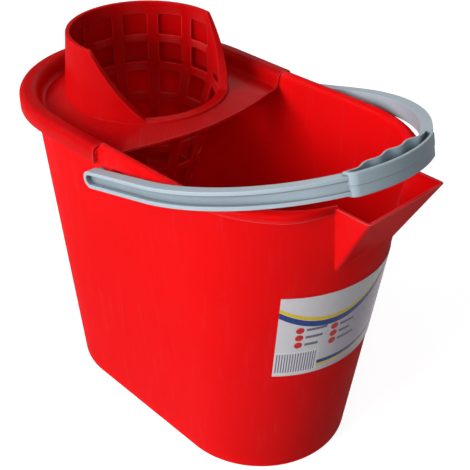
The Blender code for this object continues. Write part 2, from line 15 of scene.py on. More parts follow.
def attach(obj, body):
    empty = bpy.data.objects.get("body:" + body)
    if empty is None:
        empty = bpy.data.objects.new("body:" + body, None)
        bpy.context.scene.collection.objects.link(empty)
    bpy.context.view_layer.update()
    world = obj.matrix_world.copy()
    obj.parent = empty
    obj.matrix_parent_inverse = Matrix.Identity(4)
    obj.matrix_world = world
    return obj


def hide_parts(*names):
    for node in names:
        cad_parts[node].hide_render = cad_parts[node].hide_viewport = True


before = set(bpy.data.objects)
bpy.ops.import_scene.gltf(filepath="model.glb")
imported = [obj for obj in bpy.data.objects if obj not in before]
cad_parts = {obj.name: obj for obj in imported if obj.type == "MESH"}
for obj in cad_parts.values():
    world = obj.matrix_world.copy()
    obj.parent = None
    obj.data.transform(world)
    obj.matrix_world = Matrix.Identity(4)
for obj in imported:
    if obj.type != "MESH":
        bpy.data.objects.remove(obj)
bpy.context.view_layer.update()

# Bucket wall, on its outer face
RIM_HEIGHT = 0.2885
BASE_ARC_OFFSET = 0.0705
BASE_RADIUS = 0.0813
MOUTH_REAR_ARC = 0.0804
MOUTH_FRONT_ARC = 0.0897
MOUTH_RADIUS = 0.1002
WALL = 0.0022
FLOOR = 0.0025
FLOOR_FILLET = 0.010
BASE_FILLET = 0.004
FOOT_DEPTH = 0.003
FOOT_WIDTH = 0.009
WALL_STEP = 0.012

# Rim: a plain turned-out edge under the wringer's hook, a raised roll before the hook's ends
RIM_BEND = 0.0052
RIM_WIDTH = 0.0101
RIM_EDGE_ROUND = 0.0016
RIM_SLOPE = 0.0012
ROLL_RADIUS = 0.00535
ROLL_SKIRT = 0.0022
ROLL_RISE = 0.0032
ROLL_TILT = 0.0165
STEP_GAP = 0.0004
STEP_RUN = 0.0008

# In the scene alone: the roll's skirt hangs lower at the step, and the roll runs out beside the spout
SKIRT_FALL = 0.0085
SKIRT_RUN = 0.070
RUN_OUT = 0.030
RUN_OUT_SHARE = 0.12

# Pour spout
SPOUT_REACH = 0.0223
SPOUT_LIP_HALF_WIDTH = 0.0434
SPOUT_RISE = 0.0040
SPOUT_DROP = 0.060
SPOUT_FOOT_HALF_WIDTH = 0.033
SPOUT_FOLD = 0.0035

# Handle pivot
PIVOT_X = -0.0015
PIVOT_DROP = 0.019
EAR_RADIUS = 0.011
EAR_INSET = 0.0005
PIN_RADIUS = 0.005
PIN_DEPTH = 0.0085
HUB_RADIUS = 0.0058

# Wringer
FIT = 0.0003
HOOK_DROP = 0.0124
HOOK_CORNER = 0.0053
DISH_FILLET = 0.005
DISH_DEPTH = 0.0055
SEAM_X = -0.010
FLANGE_BULGE = 0.018
GUARD_RISE = 0.0515
GUARD_TOP_RADIUS = 0.0683
GUARD_FLARE = 0.08
GUARD_FOOT_FILLET = 0.001
CUT_START = 0.0096
CUT_ANGLE = math.radians(50.0)
COLLAR_DROP = 0.0033
EDGE_ROUND = 0.0010
TOP_BAND = 0.008
GROOVE_LEAST = 0.0012
GUARD_EDGE_WIDTH = 0.0040
BASKET_DRAFT = 0.0008
BASKET_FLOOR_RADIUS = 0.036
BASKET_DEPTH = 0.1005
BASKET_FILLET = 0.004
WINDOW_COLUMNS = 12
WINDOW_ANGLE = math.radians(20.6)
WINDOW_HEIGHT = 0.0205
WINDOW_ROW_PITCH = 0.0275
WINDOW_FIRST = 0.011
WINDOW_FLOOR_MARGIN = 0.006
WINDOW_LEAST_HEIGHT = 0.006
WINDOW_OVERCUT = 0.004
WINDOW_CORNER = 0.0018
DRAIN_COUNT = 6
DRAIN_RADIUS = 0.0045
DRAIN_CIRCLE = 0.021

# Bail handle
REST_TILT = math.radians(13.9)
ARM_GAP = 0.0020
ARM_STRAIGHT = 0.0665
SHOULDER_RADIUS = 0.157
SHOULDER_TURN = math.radians(57.0)
STRAP_HEIGHT = 0.0142
STRAP_DEPTH = 0.009
CHANNEL_DEPTH = 0.0045
CHANNEL_FLANGE = 0.003
GRIP_PROUD = 0.003
GRIP_HALF_LENGTH = 0.0465
GRIP_END_RADIUS = 0.008
GRIP_END_BACK = 0.0040
GRIP_TOP = 0.0095
GRIP_BOTTOM = 0.0089
GRIP_WALL = 0.0025
GRIP_WEB = 0.0025
GRIP_ROUND = 0.0012
PARTING_STEP = 0.0005
FADE_START = 0.45
FADED_DEPTH = 0.0012
FINGER_COUNT = 4
FINGER_DEPTH = 0.0030

# Label
LABEL_BOTTOM = 0.123
LABEL_TOP = 0.2095
LABEL_HALF_ANGLE = math.radians(43.5)
LABEL_THICKNESS = 0.0003

# Label's print, from the lower middle of the film
SWEEP_MIDDLE = 0.026
SWEEP_BEND = 7.0
SWEEP_UP = 0.0605
BARS_LEFT = -0.0690
BARS_RIGHT = -0.0350
BARS_MARGIN = 0.002
BARS_PER_METRE = 460.0
DOT_RADIUS = 0.0034
DOT_COLUMNS = (-0.052, -0.022)
DOT_TOP = 0.0510
DOT_PITCH = 0.0081
COLUMN_DROP = 0.0030
LINE_START = 0.0052
LINE_LENGTH = 0.0175
LINE_HALF_HEIGHT = 0.0014

# Camera, fitted to the photograph
CAMERA_TARGET = Vector((0.025746, 0.0, 0.180107))
CAMERA_DISTANCE = 0.835994
CAMERA_AZIMUTH = math.radians(45.974)
CAMERA_ELEVATION = math.radians(33.53)
CAMERA_ROLL = math.radians(0.653)
CAMERA_LENS = 72.23

# Light: name, place, aim, size and power of each lamp
LAMPS = (
    ("key", (-0.05, -1.80, 0.88), (0.0, 0.0, 0.15), 1.0, 32.0),
    ("side", (-1.0, -1.2, 1.45), (0.0, 0.0, 0.2), 1.0, 8.0),
    ("fill", (0.99, -0.93, 1.06), (0.0, 0.0, 0.2), 0.6, 4.5),
    ("back", (-1.2, 1.5, 1.2), (0.0, 0.0, 0.2), 1.0, 6.0),
    ("top", (0.25, -0.35, 1.90), (0.04, 0.02, 0.2), 1.0, 3.0),
)
WORLD_LEVEL = 0.075
FLOOR_LEVEL = 0.88
FLOOR_HALF_SIZE = 6.0
FLOOR_DROP = 0.0002

# Fineness of curves
MERGE_DISTANCE = 0.000005
ARC_STEPS = 72
BEND_STEPS = 8
FILLET_STEPS = 8
PIN_SIDES = 48
FINGER_STEPS = 12

# Worked out from the sizes above
MOUTH_Z = RIM_HEIGHT - RIM_BEND
BEND_OFFSET = RIM_BEND - WALL
RIM_OUTER = MOUTH_RADIUS + RIM_WIDTH
ROLL_OFFSET = ROLL_RADIUS - WALL
ROLL_Z = RIM_HEIGHT + ROLL_RISE - ROLL_RADIUS
NECK_Z = MOUTH_Z - WALL
STEP_REAR = SEAM_X + STEP_GAP
STEP_FRONT = STEP_REAR + STEP_RUN
SPOUT_TOP = RIM_HEIGHT + SPOUT_RISE
FLOOR_Z = FOOT_DEPTH + FLOOR
PIVOT_Z = RIM_HEIGHT - PIVOT_DROP
EAR_FACE = RIM_OUTER - EAR_INSET
EAR_TOP_FACE = MOUTH_RADIUS + 2 * ROLL_OFFSET + WALL / 2
HOOK_WIDTH = RIM_WIDTH + FIT + WALL
HOOK_TOP = RIM_HEIGHT + FIT + WALL
HOOK_OUTER = MOUTH_RADIUS + HOOK_WIDTH
AXIS_X = -MOUTH_REAR_ARC
DISH_Z = RIM_HEIGHT - DISH_DEPTH
THROAT_Z = DISH_Z - WALL
GUARD_TOP = RIM_HEIGHT + GUARD_RISE
COLLAR_TOP = RIM_HEIGHT - COLLAR_DROP
BASKET_TOP_RADIUS = GUARD_TOP_RADIUS - GUARD_EDGE_WIDTH
BASKET_THROAT_RADIUS = BASKET_TOP_RADIUS - BASKET_DRAFT
BASKET_FLOOR_Z = RIM_HEIGHT - BASKET_DEPTH
ARM_INNER = HOOK_OUTER + ARM_GAP
ARM_OUTER = ARM_INNER + STRAP_DEPTH
SHOULDER_END_X = ARM_STRAIGHT + SHOULDER_RADIUS * math.sin(SHOULDER_TURN)
SHOULDER_END_Y = ARM_OUTER - SHOULDER_RADIUS * (1 - math.cos(SHOULDER_TURN))
GRIP_RADIUS = SHOULDER_END_Y / math.cos(SHOULDER_TURN)
GRIP_CENTRE_X = SHOULDER_END_X - GRIP_RADIUS * math.sin(SHOULDER_TURN)
GRIP_FRONT = GRIP_CENTRE_X + GRIP_RADIUS + GRIP_PROUD
HANDLE_FRONT = PIVOT_X + GRIP_FRONT * math.cos(REST_TILT) + GRIP_BOTTOM * math.sin(REST_TILT)
SPOUT_LIP_X = MOUTH_FRONT_ARC + MOUTH_RADIUS + SPOUT_REACH
BUCKET_X = (MOUTH_REAR_ARC + HOOK_OUTER - max(HANDLE_FRONT, SPOUT_LIP_X)) / 2
PLACE_BUCKET = Matrix.Translation((BUCKET_X, 0.0, 0.0))
PLACE_HANDLE = Matrix.Translation((BUCKET_X + PIVOT_X, 0.0, PIVOT_Z)) @ Matrix.Rotation(-REST_TILT, 4, 'Y')


def lerp(start, end, share):
    return start + (end - start) * share


def arc(start, end, steps):
    """Values from start to end, both included."""
    return [lerp(start, end, step / steps) for step in range(steps + 1)]


def oval(rear, front, radius, z):
    """A level ring: round ends about +front and -rear, and the rim step's stations on the straight sides."""
    stations = arc(front, STEP_FRONT, 4)[1:] + arc(STEP_REAR, -rear, 4)[:-1]
    ring = []
    for centre, first, along in ((front, -math.pi / 2, stations), (-rear, math.pi / 2, stations[::-1])):
        for angle in arc(first, first + math.pi, ARC_STEPS):
            ring.append(Vector((centre + radius * math.cos(angle), radius * math.sin(angle), z)))
        for x in along:
            ring.append(Vector((x, math.copysign(radius, centre), z)))
    return ring


def wall_size(z):
    """Rear arc, front arc and radius of the wall's outer face at a height."""
    share = z / MOUTH_Z
    rear = lerp(BASE_ARC_OFFSET, MOUTH_REAR_ARC, share)
    front = lerp(BASE_ARC_OFFSET, MOUTH_FRONT_ARC, share)
    return rear, front, lerp(BASE_RADIUS, MOUTH_RADIUS, share)


def wall_ring(z, inset):
    rear, front, radius = wall_size(z)
    return oval(rear, front, radius - inset, z)


def corner_arc(x, z, radius, first, last, steps=4):
    """Points of an arc about a centre."""
    return [(x + radius * math.cos(a), z + radius * math.sin(a)) for a in arc(first, last, steps)]


def rim_bend(radius, first, last):
    """A quarter about the centre of the rim's bend."""
    return corner_arc(BEND_OFFSET, MOUTH_Z, radius, first, last, BEND_STEPS)


def roll_share(point):
    """How far the roll stands out at a point: fully along the rim, less beside the spout."""
    beside = min(max((abs(point.y) - SPOUT_LIP_HALF_WIDTH) / RUN_OUT, 0.0), 1.0)
    if point.x < MOUTH_FRONT_ARC:
        return 1.0
    return lerp(RUN_OUT_SHARE, 1.0, beside * beside * (3 - 2 * beside))


def rim_ring(plain, rolled, fall=0.0):
    """A ring of the rim, from an offset and height behind the step and those of the rising roll before it.

    The ring hangs lower by fall at the step, and by less and less before it.
    """
    ring = []
    profiles = (plain, rolled, (0.0, rolled[1]))
    ovals = [oval(MOUTH_REAR_ARC, MOUTH_FRONT_ARC, MOUTH_RADIUS + offset, z) for offset, z in profiles]
    for behind, before, upright in zip(*ovals):
        along = before.x - STEP_FRONT
        raised = ROLL_TILT * along - fall * max(1.0 - along / SKIRT_RUN, 0.0)
        place = upright.lerp(before, roll_share(upright)) + Vector((0.0, 0.0, raised))
        ring.append(behind if along < -STEP_RUN / 2 else place)
    return ring


def plain_rim():
    """The rim under the hook, from the inner bend over the edge to the outer bend."""
    edge = RIM_WIDTH - RIM_EDGE_ROUND
    edge_z = RIM_HEIGHT - RIM_SLOPE
    bend = rim_bend(BEND_OFFSET, math.pi / 2, math.pi)
    shares = arc(0, 1, BEND_STEPS + 2)[:-1]
    end_x, end_z = bend[0]
    under = [(lerp(RIM_WIDTH, end_x, share), lerp(edge_z - WALL, end_z, share)) for share in shares]
    outer = corner_arc(edge, edge_z - RIM_EDGE_ROUND, RIM_EDGE_ROUND, math.pi / 2, 0.0, BEND_STEPS - 1)
    return rim_bend(RIM_BEND, math.pi, math.pi / 2) + outer + under + bend


def rolled_rim():
    """The roll before the step, point for point with the plain rim, each point with its fall at the step."""
    foot = ROLL_Z - ROLL_SKIRT
    outer = corner_arc(ROLL_OFFSET, ROLL_Z, ROLL_RADIUS, math.pi, 0.0, 2 * BEND_STEPS)
    inner = corner_arc(ROLL_OFFSET, ROLL_Z, ROLL_OFFSET, 0.0, math.pi, 2 * BEND_STEPS)
    skirt = [((ROLL_OFFSET + ROLL_RADIUS, foot), SKIRT_FALL), ((2 * ROLL_OFFSET, foot), SKIRT_FALL)]
    return [(point, 0.0) for point in outer] + skirt + [(point, 0.0) for point in inner]


def new_object(name, bm, place=PLACE_BUCKET):
    """Turn a bmesh into an object at the origin, with its place in its mesh."""
    bmesh.ops.recalc_face_normals(bm, faces=bm.faces)
    bm.transform(place)
    mesh = bpy.data.meshes.new(name)
    bm.to_mesh(mesh)
    bm.free()
    obj = bpy.data.objects.new(name, mesh)
    bpy.context.scene.collection.objects.link(obj)
    return obj


def add_skin(bm, rings):
    """A closed body through rings of equal length, with flat caps."""
    loops = [[bm.verts.new(point) for point in ring] for ring in rings]
    count = len(loops[0])
    for here, there in zip(loops, loops[1:]):
        for i in range(count):
            j = (i + 1) % count
            bm.faces.new((here[i], here[j], there[j], there[i]))
    bm.faces.new(loops[0])
    bm.faces.new(loops[-1])


def add_prism(bm, outline, low, high):
    """A flat outline in X and Y, extruded up from low to high."""
    add_skin(bm, [[Vector((x, y, z)) for x, y in outline] for z in (low, high)])


def add_rod(bm, radius, x, z, y_from, y_to):
    """A round rod along Y."""
    place = Matrix.Translation((x, (y_from + y_to) / 2, z)) @ Matrix.Rotation(math.pi / 2, 4, 'X')
    bmesh.ops.create_cone(bm, cap_ends=True, segments=PIN_SIDES, radius1=radius, radius2=radius,
                          depth=abs(y_to - y_from), matrix=place)


def moulding(obj, steps, sharp=32.0):
    """Apply the cuts and unions to obj, remove the tools, then set smooth faces and sharp edges."""
    for tool, operation in steps:
        modifier = obj.modifiers.new(tool.name, 'BOOLEAN')
        modifier.object = tool
        modifier.operation = operation
        modifier.solver = 'EXACT'
    bpy.context.view_layer.update()
    solid = obj.evaluated_get(bpy.context.evaluated_depsgraph_get())
    mesh = bpy.data.meshes.new_from_object(solid)
    obj.modifiers.clear()
    obj.data = mesh
    for tool, operation in steps:
        bpy.data.objects.remove(tool, do_unlink=True)
    bm = bmesh.new()
    bm.from_mesh(mesh)
    bmesh.ops.remove_doubles(bm, verts=bm.verts, dist=MERGE_DISTANCE)
    bmesh.ops.dissolve_degenerate(bm, edges=bm.edges, dist=MERGE_DISTANCE)
    bm.to_mesh(mesh)
    bm.free()
    mesh.materials.clear()
    mesh.shade_smooth()
    mesh.set_sharp_from_angle(angle=math.radians(sharp))
    weighted = obj.modifiers.new("weighted", 'WEIGHTED_NORMAL')
    weighted.keep_sharp = True
    weighted.weight = 60
    return obj


def applied(obj, steps):
    """The same for a tool that is itself cut before it is used."""
    moulding(obj, steps)
    obj.modifiers.clear()
    return obj


def bucket_shell():
    """Floor, wall, turned-out rim and foot ring as one skin, from the floor's inside to its underside."""
    rings = []
    for angle in arc(0.0, math.pi / 2, FILLET_STEPS):
        rise = FLOOR_FILLET * (1 - math.cos(angle))
        inset = WALL + FLOOR_FILLET * (1 - math.sin(angle))
        rings.append(wall_ring(FLOOR_Z + rise, inset))
    heights = arc(FLOOR_Z + FLOOR_FILLET, NECK_Z, round(MOUTH_Z / WALL_STEP))[1:]
    rings += [wall_ring(z, WALL) for z in heights]
    rings += [rim_ring(plain, rolled, fall) for plain, (rolled, fall) in zip(plain_rim(), rolled_rim())]
    rings += [wall_ring(z, 0.0) for z in reversed(heights)]
    for angle in arc(0.0, math.pi / 2, FILLET_STEPS):
        inset = BASE_FILLET * (1 - math.cos(angle))
        rings.append(wall_ring(BASE_FILLET * (1 - math.sin(angle)), inset))
    rings.append(wall_ring(0.0, BASE_FILLET + FOOT_WIDTH))
    rings.append(wall_ring(FOOT_DEPTH, BASE_FILLET + FOOT_WIDTH))
    bm = bmesh.new()
    add_skin(bm, rings)
    return new_object("bucket_moulding", bm)


def bucket_cavity():
    """The space within the middle of the wall, which the spout's solid is kept out of."""
    root = WALL / 2
    rings = [wall_ring(FLOOR_Z, root), wall_ring(NECK_Z, root)]
    bend = rim_bend(RIM_BEND - root, math.pi, math.pi / 2)
    roll = corner_arc(ROLL_OFFSET, ROLL_Z, ROLL_RADIUS - root, math.pi, math.pi / 2, BEND_STEPS)
    rings += [rim_ring(plain, rolled) for plain, rolled in zip(bend, roll)]
    rings.append(rim_ring((BEND_OFFSET, RIM_HEIGHT * 1.1), (ROLL_OFFSET, RIM_HEIGHT * 1.1)))
    bm = bmesh.new()
    add_skin(bm, rings)
    return new_object("bucket_cavity", bm)


def spout_wedge(bm, wall, inward, above):
    """The spout as a wedge with rounded folds: front and sides drawn in by wall, back pushed inward."""
    foot_z = RIM_HEIGHT - SPOUT_DROP
    rear, front, radius = wall_size(foot_z)
    foot_x = front + math.sqrt(radius ** 2 - SPOUT_FOOT_HALF_WIDTH ** 2)
    slope = (SPOUT_LIP_X - foot_x) / (SPOUT_TOP - foot_z)
    spread = (SPOUT_LIP_HALF_WIDTH - SPOUT_FOOT_HALF_WIDTH) / (SPOUT_TOP - foot_z)
    front_inset = wall * math.hypot(1.0, slope)
    side_inset = wall * math.hypot(1.0, spread)
    fold = SPOUT_FOLD - wall
    rings = []
    for z in arc(foot_z, SPOUT_TOP + above, 8):
        lip_x = foot_x + slope * (z - foot_z) - front_inset
        half = SPOUT_FOOT_HALF_WIDTH + spread * (z - foot_z) - side_inset
        back = foot_x - inward - WALL
        outline = [(back, -half)]
        outline += corner_arc(lip_x - fold, fold - half, fold, -math.pi / 2, 0.0, 6)
        outline += corner_arc(lip_x - fold, half - fold, fold, 0.0, math.pi / 2, 6)
        outline.append((back, half))
        rings.append([Vector((x, y, z)) for x, y in outline])
    add_skin(bm, rings)


def bucket_spout():
    """The spout, trimmed by the cavity so that the inside stays smooth."""
    bm = bmesh.new()
    spout_wedge(bm, 0.0, WALL, 0.0)
    return applied(new_object("bucket_spout", bm), [(bucket_cavity(), 'DIFFERENCE')])


def bucket_ears():
    """Lugs for the handle's pins, rooted halfway into wall and rim, their tops behind the roll's skirt."""
    ear_top = RIM_HEIGHT - WALL / 2
    outline = []
    for x in (PIVOT_X - EAR_RADIUS, PIVOT_X + EAR_RADIUS):
        outline.append((x, MOUTH_RADIUS + BEND_OFFSET / 2, ear_top))
        outline.append((x, MOUTH_RADIUS - WALL / 2, MOUTH_Z))
    for angle in arc(math.pi, 2 * math.pi, 2 * FILLET_STEPS):
        z = PIVOT_Z + EAR_RADIUS * math.sin(angle)
        outline.append((PIVOT_X + EAR_RADIUS * math.cos(angle), wall_size(z)[2] - WALL / 2, z))
    bm = bmesh.new()
    for side in (-1, 1):
        points = []
        for x, root, z in outline:
            face = EAR_FACE if z <= PIVOT_Z else EAR_TOP_FACE
            points += [bm.verts.new((x, side * root, z)), bm.verts.new((x, side * face, z))]
        bmesh.ops.convex_hull(bm, input=points)
    loose = [vert for vert in bm.verts if not vert.link_faces]
    bmesh.ops.delete(bm, geom=loose, context='VERTS')
    return new_object("bucket_ears", bm)


def bucket_cuts():
    """The way out through the spout, and the blind pivot holes in the ears."""
    bm = bmesh.new()
    spout_wedge(bm, WALL, MOUTH_RADIUS / 2, RIM_HEIGHT * 0.1)
    for side in (-1, 1):
        hole_end = EAR_FACE - PIN_DEPTH - FIT
        add_rod(bm, PIN_RADIUS + FIT, PIVOT_X, PIVOT_Z, side * hole_end, side * HOOK_OUTER)
    return new_object("bucket_cuts", bm)


def make_bucket():
    steps = [(bucket_spout(), 'UNION'), (bucket_ears(), 'UNION'), (bucket_cuts(), 'DIFFERENCE')]
    return moulding(bucket_shell(), steps)


def guard_radius(z):
    """Outer radius of the splash guard, which widens downwards."""
    return GUARD_TOP_RADIUS + GUARD_FLARE * (GUARD_TOP - z)


def guard_edge(angle):
    """Height of the guard's upper edge: level at the back, cut on a slant, then a low collar in front."""
    lean = math.tan(CUT_ANGLE)
    forward = math.cos(angle)
    drop = lean * (GUARD_TOP_RADIUS * forward - CUT_START) / (1 - lean * GUARD_FLARE * forward)
    return GUARD_TOP - min(max(drop, 0.0), GUARD_TOP - COLLAR_TOP)


def basket_radius(z):
    """Inner radius of the basket: nearly upright beside the guard, a cone below the flange."""
    if z > THROAT_Z:
        share = (z - THROAT_Z) / (GUARD_TOP - THROAT_Z)
        return lerp(BASKET_THROAT_RADIUS, BASKET_TOP_RADIUS, share)
    share = (z - BASKET_FLOOR_Z) / (THROAT_Z - BASKET_FLOOR_Z)
    return lerp(BASKET_FLOOR_RADIUS, BASKET_THROAT_RADIUS, share)


def wringer_angles():
    """Stations round the basket, which hit the corners of the guard's edge."""
    corner = math.acos(CUT_START / GUARD_TOP_RADIUS)
    fall = GUARD_TOP - COLLAR_TOP
    level = math.acos((fall / math.tan(CUT_ANGLE) + CUT_START) / (GUARD_TOP_RADIUS + fall * GUARD_FLARE))
    half = arc(0.0, level, 16)[:-1] + arc(level, corner, 16)[:-1] + arc(corner, math.pi / 2, 5)[:-1]
    half += arc(math.pi / 2, math.pi, ARC_STEPS // 2)
    return half + [-angle for angle in reversed(half[1:-1])]


def flange_point(angle, offset, z):
    """A point of the flange's outer part: round behind the axis, straight along the sides, square before."""
    reach = MOUTH_RADIUS + offset
    if abs(angle) >= math.pi / 2 - 1e-9:
        return Vector((AXIS_X + reach * math.cos(angle), reach * math.sin(angle), z))
    end = SEAM_X + 2 * FLANGE_BULGE - AXIS_X
    side = MOUTH_RADIUS / math.tan(abs(angle)) if angle else math.inf
    if side < end:
        return Vector((AXIS_X + side, math.copysign(reach, angle), z))
    return Vector((AXIS_X + end + offset, reach / MOUTH_RADIUS * end * math.tan(angle), z))


def wringer_shell():
    """Basket, guard, flange and hook as one skin, from the basket's floor over the hook and back below."""
    angles = wringer_angles()

    def ring(profile):
        """A ring about the basket's axis, from a function of the angle that gives radius and height."""
        points = []
        for angle in angles:
            radius, z = profile(angle)
            points.append(Vector((AXIS_X + radius * math.cos(angle), radius * math.sin(angle), z)))
        return points

    def flange_ring(offset, z):
        return [flange_point(angle, offset, z) for angle in angles]

    def flat(radius, z):
        return ring(lambda angle: (radius, z))

    def inner(share):
        """The basket's inside, from the throat up to the guard's edge."""
        def profile(angle):
            z = lerp(THROAT_Z, guard_edge(angle) - EDGE_ROUND, share)
            return basket_radius(z), z
        return ring(profile)

    def outer(share):
        """The guard's outside, from its edge down to the fillet at its foot."""
        def profile(angle):
            z = lerp(guard_edge(angle) - EDGE_ROUND, DISH_Z + GUARD_FOOT_FILLET, share)
            return guard_radius(z), z
        return ring(profile)

    def edge(turn):
        """The rounded edge, from the inside at 0 over the top to the outside at 1."""
        def profile(angle):
            z = guard_edge(angle)
            low = z - EDGE_ROUND
            if turn <= 0.5:
                side = math.pi * (1 - turn)
                return basket_radius(z) + EDGE_ROUND * (1 + math.cos(side)), low + EDGE_ROUND * math.sin(side)
            side = math.pi * (1 - turn)
            return guard_radius(z) - EDGE_ROUND * (1 - math.cos(side)), low + EDGE_ROUND * math.sin(side)
        return ring(profile)

    def gap(inside):
        """The closed end of the space between guard and basket."""
        def profile(angle):
            z = max(guard_edge(angle) - TOP_BAND, THROAT_Z + GROOVE_LEAST)
            return (basket_radius(z) + WALL if inside else guard_radius(z) - WALL), z
        return ring(profile)

    foot = guard_radius(DISH_Z)
    skirt_foot = RIM_HEIGHT - HOOK_DROP
    rings = []
    low = BASKET_FLOOR_Z + BASKET_FILLET
    level = BASKET_FLOOR_RADIUS - BASKET_FILLET
    for x, z in corner_arc(level, low, BASKET_FILLET, -math.pi / 2, -0.35, 5):
        rings.append(flat(x, z))
    rings += [flat(basket_radius(z), z) for z in arc(low, THROAT_Z, 8)]
    rings += [inner(share) for share in (0.25, 0.5, 0.75, 1.0)]
    rings += [edge(turn) for turn in (0.125, 0.25, 0.375, 0.5, 0.501, 0.625, 0.75, 0.875)]
    rings += [outer(share) for share in arc(0.0, 1.0, 6)[:-1]]
    fillet = GUARD_FOOT_FILLET
    for x, z in corner_arc(foot + fillet, DISH_Z + fillet, fillet, math.pi, 1.5 * math.pi, 6):
        rings.append(flat(max(x, foot) if z < DISH_Z + fillet else guard_radius(z), z))
    leg = -2 * WALL - FIT
    for angle in arc(math.pi / 2, 0.0, FILLET_STEPS)[:-1]:
        offset = leg - DISH_FILLET * (1 - math.cos(angle))
        rings.append(flange_ring(offset, MOUTH_Z - DISH_FILLET * math.sin(angle)))
    rings += [flange_ring(*point) for point in rim_bend(RIM_BEND + FIT + WALL, math.pi, math.pi / 2)]
    for angle in arc(math.pi / 2, 0.0, FILLET_STEPS):
        offset = HOOK_WIDTH - HOOK_CORNER * (1 - math.cos(angle))
        rings.append(flange_ring(offset, HOOK_TOP - HOOK_CORNER * (1 - math.sin(angle))))
    inner_corner = HOOK_CORNER - WALL
    lip = WALL * 0.4
    rings.append(flange_ring(HOOK_WIDTH, skirt_foot + lip))
    rings.append(flange_ring(HOOK_WIDTH - lip, skirt_foot))
    rings.append(flange_ring(HOOK_WIDTH - WALL + lip, skirt_foot))
    rings.append(flange_ring(HOOK_WIDTH - WALL, skirt_foot + lip))
    for angle in arc(0.0, math.pi / 2, FILLET_STEPS):
        offset = HOOK_WIDTH - WALL - inner_corner * (1 - math.cos(angle))
        rings.append(flange_ring(offset, HOOK_TOP - WALL - inner_corner * (1 - math.sin(angle))))
    rings += [flange_ring(*point) for point in rim_bend(RIM_BEND + FIT, math.pi / 2, math.pi)]
    below = DISH_FILLET + WALL
    for angle in arc(0.0, math.pi / 2, FILLET_STEPS)[1:]:
        offset = leg + WALL - below * (1 - math.cos(angle))
        rings.append(flange_ring(offset, MOUTH_Z - below * math.sin(angle)))
    rings.append(flat(foot - WALL, DISH_Z - WALL))
    rings += [gap(False), gap(True)]
    rings += [flat(basket_radius(z) + WALL, z) for z in arc(THROAT_Z, BASKET_FLOOR_Z, 8)]
    rings.append(flat(BASKET_FLOOR_RADIUS - BASKET_FILLET, BASKET_FLOOR_Z - WALL))
    bm = bmesh.new()
    add_skin(bm, rings)
    return new_object("wringer_moulding", bm)


def flange_front():
    """What lies beyond the flange's bowed front edge and the hook's square ends."""
    half = MOUTH_RADIUS - 2 * WALL - FIT
    bow = (half ** 2 + FLANGE_BULGE ** 2) / (2 * FLANGE_BULGE)
    centre = SEAM_X + FLANGE_BULGE - bow
    sweep = math.asin(half / bow)
    outline = [(centre + bow * math.cos(angle), bow * math.sin(angle)) for angle in arc(-sweep, sweep, 48)]
    far = SEAM_X + 2 * half
    outline += [(SEAM_X, 2 * half), (far, 2 * half), (far, -2 * half), (SEAM_X, -2 * half)]
    bm = bmesh.new()
    add_prism(bm, outline, BASKET_FLOOR_Z, GUARD_TOP)
    return new_object("flange_front", bm)


def add_window(bm, middle, low, high):
    """One window with rounded corners, as a wedge that ends between the basket and the guard."""
    radius = basket_radius((low + high) / 2)
    half = WINDOW_ANGLE * radius / 2
    corner = min(WINDOW_CORNER, (high - low) / 3)
    outline = corner_arc(half - corner, high - corner, corner, 0.0, math.pi / 2, 3)
    outline += [(x, high) for x in arc(half - corner, corner - half, 4)[1:-1]]
    outline += corner_arc(corner - half, high - corner, corner, math.pi / 2, math.pi, 3)
    outline += corner_arc(corner - half, low + corner, corner, math.pi, 1.5 * math.pi, 3)
    outline += [(x, low) for x in arc(corner - half, half - corner, 4)[1:-1]]
    outline += corner_arc(half - corner, low + corner, corner, 1.5 * math.pi, 2 * math.pi, 3)
    rings = []
    for inner in (True, False):
        ring = []
        for across, z in outline:
            angle = middle + across / radius
            outside = basket_radius(z) + WALL
            gap = guard_radius(z) - WALL - outside
            reach = basket_radius(z) - WINDOW_OVERCUT if inner else outside + min(gap / 2, WINDOW_OVERCUT)
            ring.append(Vector((AXIS_X + reach * math.cos(angle), reach * math.sin(angle), z)))
        rings.append(ring)
    add_skin(bm, rings)


def wringer_windows():
    """The lattice and the drain holes."""
    bm = bmesh.new()
    for column in range(WINDOW_COLUMNS):
        middle = 2 * math.pi * column / WINDOW_COLUMNS
        edges = (guard_edge(middle - WINDOW_ANGLE / 2), guard_edge(middle + WINDOW_ANGLE / 2))
        high = GUARD_TOP - WINDOW_FIRST
        while high - WINDOW_HEIGHT > BASKET_FLOOR_Z + WINDOW_FLOOR_MARGIN:
            top = min(high, min(edges) - TOP_BAND)
            low = high - WINDOW_HEIGHT
            if top - low > WINDOW_LEAST_HEIGHT:
                add_window(bm, middle, low, top)
            high -= WINDOW_ROW_PITCH
    for hole in range(DRAIN_COUNT):
        angle = 2 * math.pi * (hole + 0.5) / DRAIN_COUNT
        place = (AXIS_X + DRAIN_CIRCLE * math.cos(angle), DRAIN_CIRCLE * math.sin(angle), BASKET_FLOOR_Z)
        bmesh.ops.create_cone(bm, cap_ends=True, segments=32, radius1=DRAIN_RADIUS, radius2=DRAIN_RADIUS,
                              depth=4 * WALL, matrix=Matrix.Translation(place))
    return new_object("wringer_windows", bm)


def make_wringer():
    return moulding(wringer_shell(), [(flange_front(), 'DIFFERENCE'), (wringer_windows(), 'DIFFERENCE')])


